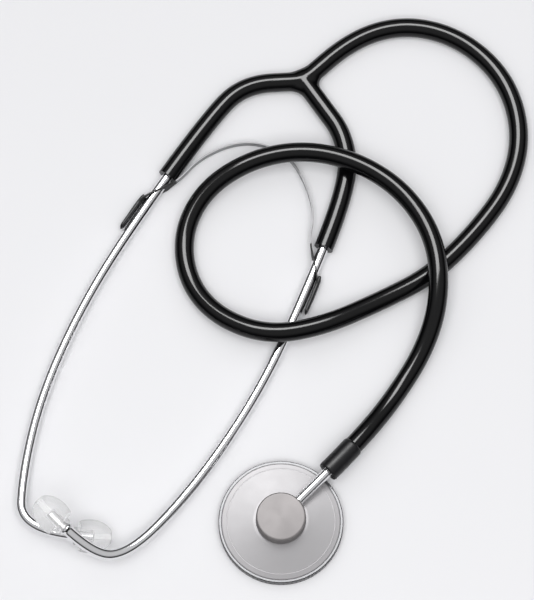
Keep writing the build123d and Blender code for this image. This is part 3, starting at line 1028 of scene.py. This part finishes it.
def vinyl_sleeve(name, start, finish, outward):
    """A slim sleeve along one end of the leaf: fuller on its outer side, rounded off at its end."""
    way = finish - start
    rings = []
    for step in range(VINYL_RINGS):
        share = step / (VINYL_RINGS - 1)
        swell = math.sin(math.pi * share**0.6)
        late = max(0.0, (share - (1 - VINYL_NOSE)) / VINYL_NOSE)
        nose = math.sqrt(max(0.0, 1 - late**2))
        mouth = min(1.0, 0.75 + share * 4)
        taper = max(nose, 0.12) * mouth
        inner = VINYL_INNER * taper
        outer = (VINYL_OUTER + VINYL_SWELL * swell) * taper
        high = VINYL_HIGH * max(nose, 0.2) ** 0.5 * (0.94 + 0.06 * mouth)
        ring = []
        for turn in range(VINYL_SIDES):
            angle = 2 * math.pi * turn / VINYL_SIDES
            across, rise = math.cos(angle), math.sin(angle)
            reach = outer if across > 0 else inner
            # the powers fill the section out, from an ellipse towards a rounded rectangle
            across = math.copysign(abs(across) ** 0.7, across)
            rise = math.copysign(abs(rise) ** 0.55, rise)
            ring.append(start + way * share + outward * (reach * across) + Vector((0, 0, high * rise)))
        rings.append(ring)
    return loft(name, rings)


class STETHOSCOPE_OT_leaf_spring(Operator):
    """Bend the leaf spring through both ear tubes and sleeve its two ends"""

    bl_idname = "stethoscope.leaf_spring"
    bl_label = "Leaf spring"

    def execute(self, context):
        metal = context.scene.stethoscope_metal
        route = [
            beside(*LEFT_EXIT, TAIL_END, -TAIL_OFFSET),
            beside(*LEFT_EXIT, TAIL_START + 0.003, -TAIL_OFFSET),
            beside(*LEFT_EXIT, TAIL_START - 0.0015, -TAIL_OFFSET + 0.0009),
            beside(*LEFT_EXIT, 0.0, LEAF_OFF_LEFT),
            *LEAF_MIDDLE,
            beside(*RIGHT_EXIT, -0.001, -LEAF_OFF_RIGHT),
            beside(*RIGHT_EXIT, TAIL_START - 0.0015, TAIL_OFFSET - 0.0011),
            beside(*RIGHT_EXIT, TAIL_START + 0.003, TAIL_OFFSET),
            beside(*RIGHT_EXIT, TAIL_END, TAIL_OFFSET),
        ]
        line = resample(line_of(route), 0.0012)
        leaf = loft("leaf_spring_strip", leaf_sections(line, metal.leaf_thick, metal.leaf_wide))
        for leaving in (LEFT_EXIT, RIGHT_EXIT):
            hole = [Vector(leaving[1]), beyond(*leaving, TAIL_START + TAIL_OFFSET)]
            cutter = round_tube("hole", hole, lambda mark: EAR_R + HOLE_GAP, 32)
            cut_with(leaf, cutter)
        for polygon in leaf.data.polygons:
            polygon.use_smooth = True
        shade_by_angle(leaf, 30)
        paint(leaf, spring_material(metal))
        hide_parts("leaf_spring")
        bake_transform(leaf)

        vinyl = sleeve_material(context.scene.stethoscope_tubing, "spring sleeve black", 0.42)
        for node, leaving, offset, body in (
            ("left_spring_sleeve", LEFT_EXIT, -VINYL_OFFSET, "left_ear"),
            ("right_spring_sleeve", RIGHT_EXIT, VINYL_OFFSET, "tubing"),
        ):
            start = beside(*leaving, TAIL_START - VINYL_BEFORE, offset)
            finish = beside(*leaving, TAIL_END + VINYL_PAST, offset)
            way = (finish - start).normalized()
            outward = Vector((-way.y, way.x, 0.0)) * math.copysign(1.0, offset)
            sleeve = vinyl_sleeve(node + "_vinyl", start, finish, outward)
            shade_by_angle(sleeve, 60)
            paint(sleeve, vinyl)
            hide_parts(node)
            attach(sleeve, body)
        return {"FINISHED"}


class STETHOSCOPE_OT_chest_piece(Operator):
    """Turn the chest piece's body and finish its stem, ring, diaphragm and gasket"""

    bl_idname = "stethoscope.chest_piece"
    bl_label = "Chest piece"

    def execute(self, context):
        metal = context.scene.stethoscope_metal
        profile = [
            (0.0020, 0.0042), (0.0219, 0.0016), (0.02385, 0.0016), (0.02385, 0.00455), (0.02378, 0.00477),
            (0.02360, 0.00488), (0.02335, 0.00492), (0.0218, 0.00523), (0.0217, 0.00517), (0.0215, 0.00517),
            (0.0214, 0.00531), (0.0114, 0.00718), (0.01095, 0.00727), (0.0104, 0.00730), (0.0101, 0.00732),
            (0.00992, 0.00745), (0.0099, 0.0077), (0.0099, 0.01268), (0.00982, 0.01292), (0.00965, 0.01309),
            (0.0094, 0.01318), (0.0090, 0.0132), (0.0, 0.0132), (0.0, 0.0042),
        ]
        body = lathe("chest_body_turned", profile, (0, 0, 0), (0, 0, 1), 192)
        shade_by_angle(body, 28)
        paint(body, turned_material(metal))
        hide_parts("chest_body")
        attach(body, "chest_piece")
        repaint("chest_stem", bright_material(metal.bright_color, "bright stem", 0.14))
        # painted shade: the ring's dark colour dims the lamp's reflection on it
        repaint("retaining_ring", bright_material(metal.ring_color_painted_dark, "satin ring painted dark", 0.42))
        repaint("diaphragm", sheet_material())
        repaint("diaphragm_gasket", rubber_material())
        return {"FINISHED"}


def hang_lamp(name, power, place, size, mirrored):
    """A flat lamp over the table, seen either only in highlights or only as light."""
    data = bpy.data.lights.new(name, "AREA")
    data.shape = "RECTANGLE"
    data.size, data.size_y = size
    data.energy = power
    lamp = bpy.data.objects.new(name, data)
    lamp.visible_glossy = mirrored
    lamp.visible_diffuse = not mirrored
    lamp.visible_transmission = not mirrored
    lamp.location = place
    lamp.rotation_euler = (LAMP_AIM - Vector(place)).to_track_quat("-Z", "Y").to_euler()
    bpy.context.scene.collection.objects.link(lamp)


def light_room():
    """A room that is dark at its walls and pale overhead, behind a plain pale backdrop."""
    world = bpy.data.worlds.new("studio")
    bpy.context.scene.world = world
    world.use_nodes = True
    tree = world.node_tree
    tree.nodes.clear()
    output = tree.nodes.new("ShaderNodeOutputWorld")
    room = tree.nodes.new("ShaderNodeBackground")
    seen = tree.nodes.new("ShaderNodeBackground")
    mix = tree.nodes.new("ShaderNodeMixShader")
    where = tree.nodes.new("ShaderNodeTexCoord")
    parts = tree.nodes.new("ShaderNodeSeparateXYZ")
    ramp = tree.nodes.new("ShaderNodeValToRGB")
    tree.links.new(where.outputs["Generated"], parts.inputs[0])
    tree.links.new(parts.outputs["Z"], ramp.inputs["Fac"])
    for element, (height, color) in zip(ramp.color_ramp.elements, (HORIZON, ZENITH)):
        element.position = height
        element.color = color
    tree.links.new(ramp.outputs["Color"], room.inputs["Color"])
    room.inputs["Strength"].default_value = ROOM_STRENGTH
    seen.inputs["Color"].default_value = BACKDROP
    rays = tree.nodes.new("ShaderNodeLightPath")
    tree.links.new(rays.outputs["Is Camera Ray"], mix.inputs["Fac"])
    tree.links.new(room.outputs[0], mix.inputs[1])
    tree.links.new(seen.outputs[0], mix.inputs[2])
    tree.links.new(mix.outputs[0], output.inputs["Surface"])


class STETHOSCOPE_OT_stage(Operator):
    """Lay the pale table and hang the lamps"""

    bl_idname = "stethoscope.stage"
    bl_label = "Table and lamps"

    def execute(self, context):
        settings = context.scene.stethoscope_stage
        corners = [(-1, -1), (1, -1), (1, 1), (-1, 1)]
        mesh = bpy.data.meshes.new("table")
        mesh.from_pydata([(x * TABLE_HALF, y * TABLE_HALF, TABLE_Z) for x, y in corners], [], [(0, 1, 2, 3)])
        table = bpy.data.objects.new("table", mesh)
        context.scene.collection.objects.link(table)
        paint(table, table_material(settings))

        # the far lamp only makes the highlights, the overhead one only lights the table and the pieces
        hang_lamp("far lamp", settings.key_power, (-0.10, 0.60, 1.30), (0.85, 0.50), mirrored=True)
        hang_lamp("overhead lamp", settings.fill_power, (0.0, -0.50, 2.0), (1.6, 1.6), mirrored=False)
        light_room()
        context.scene.view_settings.view_transform = "Standard"
        return {"FINISHED"}


class STETHOSCOPE_PT_panel(Panel):
    """The stethoscope's settings and pieces"""

    bl_label = "Stethoscope"
    bl_idname = "STETHOSCOPE_PT_panel"
    bl_space_type = "VIEW_3D"
    bl_region_type = "UI"
    bl_category = "Stethoscope"

    def draw(self, context):
        scene = context.scene
        groups = (
            (scene.stethoscope_tubing, ("color", "sleeve_color", "crotch", "sides")),
            (scene.stethoscope_metal, (
                "turned_color", "boss_painted_shade", "bright_color", "ring_color_painted_dark", "spring_color", "leaf_thick",
                "leaf_wide")),
            (scene.stethoscope_tips, ("color", "radius")),
            (scene.stethoscope_stage, ("table_color", "key_power", "fill_power")),
        )
        for settings, names in groups:
            box = self.layout.box()
            for name in names:
                box.prop(settings, name)
        for operator in STEPS:
            self.layout.operator(operator.bl_idname)


STEPS = (
    STETHOSCOPE_OT_camera,
    STETHOSCOPE_OT_hose,
    STETHOSCOPE_OT_branches,
    STETHOSCOPE_OT_ear_tubes,
    STETHOSCOPE_OT_ear_tips,
    STETHOSCOPE_OT_leaf_spring,
    STETHOSCOPE_OT_chest_piece,
    STETHOSCOPE_OT_stage,
)
CLASSES = (TubingSettings, MetalSettings, TipSettings, StageSettings, *STEPS, STETHOSCOPE_PT_panel)


def register():
    """Registers the classes and their settings."""
    for cls in CLASSES:
        bpy.utils.register_class(cls)
    bpy.types.Scene.stethoscope_tubing = PointerProperty(type=TubingSettings)
    bpy.types.Scene.stethoscope_metal = PointerProperty(type=MetalSettings)
    bpy.types.Scene.stethoscope_tips = PointerProperty(type=TipSettings)
    bpy.types.Scene.stethoscope_stage = PointerProperty(type=StageSettings)


def unregister():
    """Removes the settings and the classes."""
    del bpy.types.Scene.stethoscope_stage
    del bpy.types.Scene.stethoscope_tips
    del bpy.types.Scene.stethoscope_metal
    del bpy.types.Scene.stethoscope_tubing
    for cls in reversed(CLASSES):
        bpy.utils.unregister_class(cls)


def main():
    """Builds the whole scene."""
    register()
    bpy.ops.stethoscope.camera()
    bpy.ops.stethoscope.hose()
    bpy.ops.stethoscope.branches()
    bpy.ops.stethoscope.ear_tubes()
    bpy.ops.stethoscope.ear_tips()
    bpy.ops.stethoscope.leaf_spring()
    bpy.ops.stethoscope.chest_piece()
    bpy.ops.stethoscope.stage()
    bpy.context.view_layer.update()


if __name__ == "__main__":
    main()
